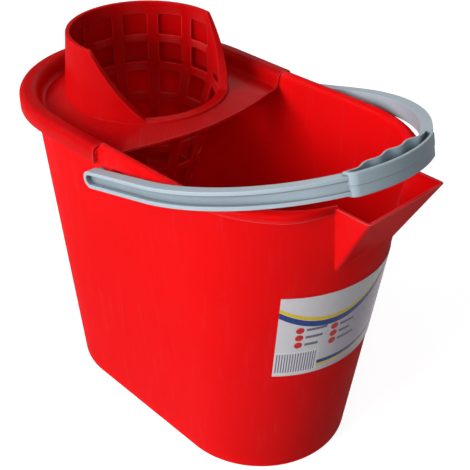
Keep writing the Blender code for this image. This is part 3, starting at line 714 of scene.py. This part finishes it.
def arm_path(inset):
    """One arm in the handle's plane: straight from the pivot, round the shoulder and into the grip."""
    path = [(x, ARM_OUTER - inset) for x in arc(0.0, ARM_STRAIGHT, 6)]
    radius = SHOULDER_RADIUS - inset
    centre_y = ARM_OUTER - SHOULDER_RADIUS
    for angle in arc(0.0, SHOULDER_TURN, 40)[1:]:
        path.append((ARM_STRAIGHT + radius * math.sin(angle), centre_y + radius * math.cos(angle)))
    radius = GRIP_RADIUS - inset
    for angle in arc(math.pi / 2 - SHOULDER_TURN, math.asin(GRIP_HALF_LENGTH / GRIP_RADIUS) / 2, 10)[1:]:
        path.append((GRIP_CENTRE_X + radius * math.cos(angle), radius * math.sin(angle)))
    return path


def faded_path(inset, faded):
    """The arm's path at an inset that turns into another one towards the grip."""
    points = []
    pairs = list(zip(arm_path(inset), arm_path(faded)))
    for step, (start, end) in enumerate(pairs):
        share = min(max((step / len(pairs) - FADE_START) / (1 - FADE_START), 0.0) * 2, 1.0)
        points.append((lerp(start[0], end[0], share), lerp(start[1], end[1], share)))
    return points


def arms(name, outside, inside, half_height):
    """Both arms between two paths."""
    bm = bmesh.new()
    for side in (-1, 1):
        rings = []
        for (x, y), (u, v) in zip(outside, inside):
            low, high = -half_height, half_height
            ring = [(x, y, low), (x, y, high), (u, v, high), (u, v, low)]
            rings.append([Vector((a, side * b, c)) for a, b, c in ring])
        add_skin(bm, rings)
    return new_object(name, bm, PLACE_HANDLE)


def pivot_rods(name, radius, y_from, y_to):
    """A pair of rods on the pivot's axis."""
    bm = bmesh.new()
    for side in (-1, 1):
        add_rod(bm, radius, 0.0, 0.0, side * y_from, side * y_to)
    return new_object(name, bm, PLACE_HANDLE)


def grip_outline(inset):
    """The grip from above: a round front with rounded corners and a finger-waved back, drawn in by inset."""
    radius = GRIP_RADIUS + GRIP_PROUD - inset
    half = GRIP_HALF_LENGTH - inset
    corner = GRIP_END_RADIUS - inset
    corner_y = half - corner
    corner_x = GRIP_CENTRE_X + math.sqrt((radius - corner) ** 2 - corner_y ** 2)
    turn = math.asin(corner_y / (radius - corner))
    outline = []
    for angle in arc(-math.pi / 2, -turn, 10):
        outline.append((corner_x + corner * math.cos(angle), corner * math.sin(angle) - corner_y))
    for angle in arc(-turn, turn, 36)[1:-1]:
        outline.append((GRIP_CENTRE_X + radius * math.cos(angle), radius * math.sin(angle)))
    for angle in arc(turn, math.pi / 2, 10):
        outline.append((corner_x + corner * math.cos(angle), corner * math.sin(angle) + corner_y))
    back = corner_x - GRIP_END_BACK + inset
    for y in arc(half, -half, FINGER_COUNT * FINGER_STEPS):
        phase = math.pi * FINGER_COUNT * (y / GRIP_HALF_LENGTH + 1)
        outline.append((back + FINGER_DEPTH * (1 - math.cos(phase)) / 2, y))
    return outline


def handle_grip():
    """The grip's outside with rounded edges, its lower half a little smaller than its upper half."""
    profile = [(PARTING_STEP + x, z) for x, z in
               corner_arc(GRIP_ROUND, GRIP_ROUND - GRIP_BOTTOM, GRIP_ROUND, 1.5 * math.pi, math.pi)]
    profile += [(PARTING_STEP, -PARTING_STEP / 2), (0.0, PARTING_STEP / 2)]
    profile += corner_arc(GRIP_ROUND, GRIP_TOP - GRIP_ROUND, GRIP_ROUND, math.pi, math.pi / 2)
    bm = bmesh.new()
    add_skin(bm, [[Vector((x, y, z)) for x, y in grip_outline(inset)] for inset, z in profile])
    return new_object("handle_grip", bm, PLACE_HANDLE)


def grip_pockets():
    """The hollows of the grip, above and below its web."""
    bm = bmesh.new()
    pocket = grip_outline(GRIP_WALL)
    web_top = (GRIP_TOP - GRIP_BOTTOM + GRIP_WEB) / 2
    add_prism(bm, pocket, web_top, 2 * GRIP_TOP)
    add_prism(bm, pocket, -2 * GRIP_BOTTOM, web_top - GRIP_WEB)
    return new_object("grip_pockets", bm, PLACE_HANDLE)


def make_handle():
    """Channelled arms with round ends, then hubs, pins and the hollow grip."""
    channel = STRAP_HEIGHT / 2 - CHANNEL_FLANGE
    channel_floor = ARM_OUTER - CHANNEL_DEPTH
    channel_path = faded_path(CHANNEL_DEPTH, FADED_DEPTH)
    beyond = ARM_OUTER + CHANNEL_DEPTH
    steps = [
        (pivot_rods("arm_ends", STRAP_HEIGHT / 2, ARM_INNER, ARM_OUTER), 'UNION'),
        (arms("arm_channels", arm_path(-CHANNEL_DEPTH), channel_path, channel), 'DIFFERENCE'),
        (pivot_rods("channel_ends", channel, channel_floor, beyond), 'DIFFERENCE'),
        (pivot_rods("pivot_hubs", HUB_RADIUS, EAR_FACE + FIT, ARM_INNER + STRAP_DEPTH / 4), 'UNION'),
        (pivot_rods("pivot_pins", PIN_RADIUS, EAR_FACE - PIN_DEPTH, ARM_INNER), 'UNION'),
        (handle_grip(), 'UNION'),
        (grip_pockets(), 'DIFFERENCE'),
    ]
    straps = arms("handle_moulding", arm_path(0.0), arm_path(STRAP_DEPTH), STRAP_HEIGHT / 2)
    return moulding(straps, steps)


def make_label():
    """A printed film wrapped round the front end, with flat coordinates in metres from its lower middle."""
    bm = bmesh.new()
    uv = bm.loops.layers.uv.new("film")
    rows = []
    heights = arc(LABEL_BOTTOM, LABEL_TOP, 12)
    turns = arc(-LABEL_HALF_ANGLE, LABEL_HALF_ANGLE, 64)
    for lift in (FIT, FIT + LABEL_THICKNESS):
        for z in heights:
            front, radius = wall_size(z)[1:]
            reach = radius + lift
            rows.append([bm.verts.new((front + reach * math.cos(a), reach * math.sin(a), z)) for a in turns])
    middle = wall_size((LABEL_BOTTOM + LABEL_TOP) / 2)[2]
    place = {}
    for row, z in zip(rows, heights * 2):
        for vert, angle in zip(row, turns):
            place[vert] = (angle * middle, z - LABEL_BOTTOM)
    count = len(heights)
    for lower, upper in list(zip(rows[:count], rows[1:count])) + list(zip(rows[count:], rows[count + 1:])):
        for i in range(len(turns) - 1):
            bm.faces.new((lower[i], lower[i + 1], upper[i + 1], upper[i]))
    back, film = rows[:count], rows[count:]
    for i in range(len(turns) - 1):
        bm.faces.new((back[0][i], back[0][i + 1], film[0][i + 1], film[0][i]))
        bm.faces.new((back[-1][i], back[-1][i + 1], film[-1][i + 1], film[-1][i]))
    for j in range(count - 1):
        bm.faces.new((back[j][0], back[j + 1][0], film[j + 1][0], film[j][0]))
        bm.faces.new((back[j][-1], back[j + 1][-1], film[j + 1][-1], film[j][-1]))
    for face in bm.faces:
        for loop in face.loops:
            loop[uv].uv = place[loop.vert]
    label = new_object("label_film", bm)
    label.data.shade_smooth()
    label.data.set_sharp_from_angle(angle=math.radians(32.0))
    return label


class Material:
    """A node material with short calls for its nodes."""

    def __init__(self, name):
        self.material = bpy.data.materials.new(name)
        self.material.use_nodes = True
        self.tree = self.material.node_tree
        self.shader = self.tree.nodes["Principled BSDF"]

    def node(self, kind, inputs=None, **settings):
        made = self.tree.nodes.new("ShaderNode" + kind)
        for key, value in settings.items():
            setattr(made, key, value)
        for key, value in (inputs or {}).items():
            self.put(made.inputs[key], value)
        return made

    def put(self, socket, value):
        if isinstance(value, bpy.types.NodeSocket):
            self.tree.links.new(value, socket)
        else:
            socket.default_value = value

    def maths(self, operation, first, second=0.0, third=0.0):
        return self.node("Math", {0: first, 1: second, 2: third}, operation=operation).outputs[0]

    def noise(self, vector, scale, detail=2.0, roughness=0.5):
        inputs = {"Vector": vector, "Scale": scale, "Detail": detail, "Roughness": roughness}
        return self.node("TexNoise", inputs).outputs["Fac"]

    def spread(self, value, low, high, first=0.0, last=1.0):
        """value from low..high put on first..last."""
        inputs = {0: value, 1: low, 2: high, 3: first, 4: last}
        return self.node("MapRange", inputs).outputs[0]

    def mix(self, share, first, second, blend='MIX'):
        made = self.node("Mix", data_type='RGBA', blend_type=blend)
        for socket, value in ((made.inputs[0], share), (made.inputs[6], first), (made.inputs[7], second)):
            self.put(socket, value)
        return made.outputs[2]

    def bump(self, height, strength, distance, normal=None):
        inputs = {"Height": height, "Strength": strength, "Distance": distance}
        if normal is not None:
            inputs["Normal"] = normal
        return self.node("Bump", inputs).outputs[0]

    def set(self, **values):
        for key, value in values.items():
            self.put(self.shader.inputs[key.replace("_", " ")], value)


def colour(red, green, blue):
    return (red, green, blue, 1.0)


def moulded_plastic(name, base, dark, pale, roughness, edge, gloss, coat, glow, painted_shade=0.0):
    """Moulded polypropylene: flow marks in the colour, fine grain and rounded edges; pale sharp edges, partly
    wear and partly painted highlight; pale painted highlight lines along the rounded edges; painted shade in
    recesses when painted_shade is set.
    """
    look = Material(name)
    place = look.node("TexCoord").outputs["Object"]
    drawn = look.node("Mapping", {"Vector": place, "Scale": (1.0, 1.0, 0.12)}).outputs[0]
    clouds = look.noise(place, 7.0, 3.0)
    streaks = look.noise(drawn, 130.0, 3.0, 0.6)
    grain = look.noise(place, 1500.0, 2.0)
    waves = look.noise(place, 24.0, 1.0)
    tone = look.mix(look.spread(clouds, 0.3, 0.7), dark, base)
    tone = look.mix(look.spread(streaks, 0.55, 0.85, 0.0, 0.10), tone, pale)
    # Sharp convex edges turn pale by pointiness: partly edge wear, partly a painted highlight.
    pointed = look.node("NewGeometry").outputs["Pointiness"]
    rubbed_and_highlit = look.maths('MULTIPLY', look.spread(pointed, 0.52, 0.62), look.spread(clouds, 0.35, 0.75, 0.1, 0.5))
    tone = look.mix(rubbed_and_highlit, tone, pale)
    # Painted highlight: a pale line along each rounded edge, where the bevelled normal turns from the true
    # one, kept off concave corners by the occlusion.
    rounded = look.node("Bevel", {"Radius": edge}, samples=6).outputs[0]
    level = look.node("NewGeometry").outputs["Normal"]
    turned = look.node("VectorMath", {0: rounded, 1: level}, operation='DOT_PRODUCT').outputs["Value"]
    free = look.node("AmbientOcclusion", {"Distance": 0.008}, samples=8).outputs["AO"]
    edges = look.spread(turned, 0.995, 0.88, 0.0, 0.75)
    tone = look.mix(look.maths('MULTIPLY', edges, look.spread(free, 0.80, 0.95)), tone, pale)
    # Painted shade: recesses darkened towards near-black by the occlusion, at the given strength.
    if painted_shade:
        tone = look.mix(look.spread(free, 0.35, 0.9, painted_shade, 0.0), tone, colour(0.03, 0.032, 0.035))
    patches = look.noise(place, 40.0, 4.0, 0.65)
    patchy = look.spread(patches, 0.3, 0.7, roughness - 0.05, roughness + 0.05)
    rough = look.maths('ADD', patchy, look.spread(streaks, 0.6, 0.9, 0.0, 0.10))
    normal = look.bump(waves, 0.25, 0.0010, rounded)
    normal = look.bump(grain, 0.10, 0.00015, normal)
    look.set(Base_Color=tone, Roughness=rough, Normal=normal, IOR=1.49, Specular_IOR_Level=gloss)
    look.set(Coat_Weight=coat, Coat_Roughness=0.22, Coat_IOR=1.49)
    look.set(Subsurface_Weight=glow, Subsurface_Radius=(1.0, 0.04, 0.04), Subsurface_Scale=0.006)
    return look


def label_print():
    """A generic printed film: a sweeping band, dots, lines and a panel of even bars, with no lettering."""
    look = Material("label_print")
    flat = look.node("UVMap", uv_map="film").outputs[0]
    parts = look.node("SeparateXYZ", {0: flat}).outputs
    across, up = parts[0], parts[1]

    def inside(value, low, high):
        above = look.maths('GREATER_THAN', value, low)
        return look.maths('MULTIPLY', above, look.maths('LESS_THAN', value, high))

    def panel(left, right, low, high):
        return look.maths('MULTIPLY', inside(across, left, right), inside(up, low, high))

    def dot(x, y, radius):
        dx = look.maths('SUBTRACT', across, x)
        dy = look.maths('SUBTRACT', up, y)
        square = look.maths('ADD', look.maths('MULTIPLY', dx, dx), look.maths('MULTIPLY', dy, dy))
        return look.maths('LESS_THAN', look.maths('SQRT', square), radius)

    white = colour(0.66, 0.65, 0.68)
    mauve_and_shade = colour(0.44, 0.36, 0.47)
    blue = colour(0.030, 0.060, 0.24)
    yellow = colour(0.74, 0.54, 0.03)
    red = colour(0.62, 0.030, 0.030)
    grey = colour(0.17, 0.16, 0.24)
    paper = look.noise(flat, 900.0, 3.0)
    aside = look.maths('ADD', across, SWEEP_MIDDLE)
    sweep = look.maths('MULTIPLY_ADD', look.maths('MULTIPLY', aside, aside), SWEEP_BEND, SWEEP_UP)
    over = look.maths('SUBTRACT', up, sweep)
    tone = look.mix(look.spread(paper, 0.3, 0.7, 0.0, 0.12), white, colour(0.52, 0.51, 0.55))
    # A mauve tint under the sweep, deepening to the right: partly the print's tint, partly painted shade on
    # the film's right side.
    under = look.maths('LESS_THAN', over, 0.0)
    tone = look.mix(look.maths('MULTIPLY', under, look.spread(across, -0.036, 0.004, 0.0, 0.9)), tone, mauve_and_shade)
    tone = look.mix(inside(over, -0.0018, 0.0018), tone, yellow)
    tone = look.mix(inside(over, -0.0082, -0.0022), tone, blue)
    beyond = look.maths('GREATER_THAN', across, BARS_RIGHT + BARS_MARGIN)
    lower = look.maths('SUBTRACT', up, look.maths('MULTIPLY', look.maths('MULTIPLY', aside, aside), 1.5))
    tone = look.mix(look.maths('MULTIPLY', beyond, inside(lower, 0.0060, 0.0085)), tone, yellow)
    tone = look.mix(look.maths('MULTIPLY', beyond, inside(lower, 0.0090, 0.0130)), tone, blue)
    for column, x in enumerate(DOT_COLUMNS):
        for row in range(3):
            y = DOT_TOP - DOT_PITCH * row - COLUMN_DROP * column
            tone = look.mix(dot(x, y, DOT_RADIUS), tone, red)
            start = x + LINE_START
            end = start + LINE_LENGTH - 0.0030 * ((row + column) % 3)
            tone = look.mix(panel(start, end, y - LINE_HALF_HEIGHT, y + LINE_HALF_HEIGHT), tone, grey)
    patch = panel(BARS_LEFT - BARS_MARGIN, BARS_RIGHT + BARS_MARGIN, 0.0015, 0.0275)
    tone = look.mix(patch, tone, colour(0.72, 0.71, 0.73))
    counted = look.maths('MULTIPLY', across, BARS_PER_METRE)
    bars = look.maths('GREATER_THAN', look.maths('FRACT', counted), 0.52)
    tone = look.mix(look.maths('MULTIPLY', panel(BARS_LEFT, BARS_RIGHT, 0.0040, 0.0255), bars), tone, grey)
    wrinkle = look.noise(flat, 60.0, 2.0)
    normal = look.bump(wrinkle, 0.2, 0.0004)
    rough = look.spread(look.noise(flat, 130.0, 3.0), 0.3, 0.7, 0.24, 0.36)
    look.set(Base_Color=tone, Roughness=rough, Normal=normal, IOR=1.49, Specular_IOR_Level=0.08)
    return look


def floor_look():
    """A plain pale floor that shows white to the camera and keeps the object's shadow."""
    look = Material("pale_floor")
    place = look.node("TexCoord").outputs["Object"]
    clouds = look.spread(look.noise(place, 3.0, 3.0), 0.3, 0.7)
    tone = look.mix(clouds, colour(0.40, 0.40, 0.40), colour(0.42, 0.42, 0.42))
    path = look.node("LightPath").outputs
    glossy_or_clear = look.maths('MAXIMUM', path["Is Glossy Ray"], path["Is Transmission Ray"])
    seen = look.maths('MAXIMUM', path["Is Camera Ray"], glossy_or_clear)
    look.set(Base_Color=tone, Roughness=0.9, Specular_IOR_Level=0.0, Emission_Color=colour(1.0, 1.0, 1.0))
    look.put(look.shader.inputs["Emission Strength"], look.maths('MULTIPLY', seen, FLOOR_LEVEL))
    return look


def make_stage():
    """Floor, world, lamps and camera."""
    bm = bmesh.new()
    bmesh.ops.create_grid(bm, x_segments=8, y_segments=8, size=FLOOR_HALF_SIZE)
    floor = new_object("floor", bm, Matrix.Translation((0.0, 0.0, -FLOOR_DROP)))
    floor.data.materials.append(floor_look().material)
    scene = bpy.context.scene
    world = bpy.data.worlds.new("studio")
    scene.world = world
    world.use_nodes = True
    sky = world.node_tree
    background = sky.nodes["Background"]
    background.inputs["Color"].default_value = colour(1.0, 1.0, 1.0)
    path = sky.nodes.new("ShaderNodeLightPath").outputs
    glossy_or_clear = sky.nodes.new("ShaderNodeMath")
    glossy_or_clear.operation = 'MAXIMUM'
    sky.links.new(path["Is Glossy Ray"], glossy_or_clear.inputs[0])
    sky.links.new(path["Is Transmission Ray"], glossy_or_clear.inputs[1])
    seen = sky.nodes.new("ShaderNodeMath")
    seen.operation = 'MAXIMUM'
    sky.links.new(path["Is Camera Ray"], seen.inputs[0])
    sky.links.new(glossy_or_clear.outputs[0], seen.inputs[1])
    strength = sky.nodes.new("ShaderNodeMapRange")
    strength.inputs["To Min"].default_value = WORLD_LEVEL
    strength.inputs["To Max"].default_value = 1.0
    sky.links.new(seen.outputs[0], strength.inputs["Value"])
    sky.links.new(strength.outputs[0], background.inputs["Strength"])

    def lamp(name, place, aim, size, power):
        data = bpy.data.lights.new(name, 'AREA')
        data.shape = 'DISK'
        data.size = size
        data.energy = power
        obj = bpy.data.objects.new(name, data)
        obj.location = place
        obj.rotation_euler = (Vector(aim) - Vector(place)).to_track_quat('-Z', 'Y').to_euler()
        scene.collection.objects.link(obj)

    for settings in LAMPS:
        lamp(*settings)

    back = Vector((math.sin(CAMERA_AZIMUTH) * math.cos(CAMERA_ELEVATION),
                   -math.cos(CAMERA_AZIMUTH) * math.cos(CAMERA_ELEVATION), math.sin(CAMERA_ELEVATION)))
    level = Vector((math.cos(CAMERA_AZIMUTH), math.sin(CAMERA_AZIMUTH), 0.0))
    up = back.cross(level)
    right = level * math.cos(CAMERA_ROLL) + up * math.sin(CAMERA_ROLL)
    top = up * math.cos(CAMERA_ROLL) - level * math.sin(CAMERA_ROLL)
    data = bpy.data.cameras.new("camera")
    data.lens = CAMERA_LENS
    data.sensor_width = 36.0
    data.clip_start = 0.01
    camera = bpy.data.objects.new("camera", data)
    matrix = Matrix((right, top, back)).transposed().to_4x4()
    matrix.translation = CAMERA_TARGET + back * CAMERA_DISTANCE
    camera.matrix_world = matrix
    scene.collection.objects.link(camera)
    scene.camera = camera
    scene.view_settings.view_transform = 'Standard'


def dress(obj, look, body, node):
    obj.data.materials.append(look.material)
    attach(obj, body)
    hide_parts(node)


# Each third colour is the pale of the flow streaks, the edge wear and the painted edge highlights.
bucket_red = moulded_plastic("bucket_red", colour(0.82, 0.004, 0.006), colour(0.77, 0.003, 0.004),
                             colour(0.92, 0.12, 0.13), 0.36, 0.0012, 0.0, 0.05, 1.0)
wringer_red = moulded_plastic("wringer_red", colour(0.53, 0.003, 0.004), colour(0.48, 0.002, 0.003),
                              colour(0.74, 0.08, 0.08), 0.38, 0.0010, 0.0, 0.05, 1.0)
# The handle's last figure is the strength of its painted shade in recesses.
handle_grey = moulded_plastic("handle_grey", colour(0.38, 0.46, 0.52), colour(0.34, 0.42, 0.48),
                              colour(0.56, 0.64, 0.70), 0.40, 0.0008, 0.08, 0.0, 0.0, 0.75)
dress(make_bucket(), bucket_red, "bucket", "bucket_body")
dress(make_wringer(), wringer_red, "wringer", "wringer")
dress(make_handle(), handle_grey, "handle", "bail_handle")
dress(make_label(), label_print(), "bucket", "front_label")
make_stage()
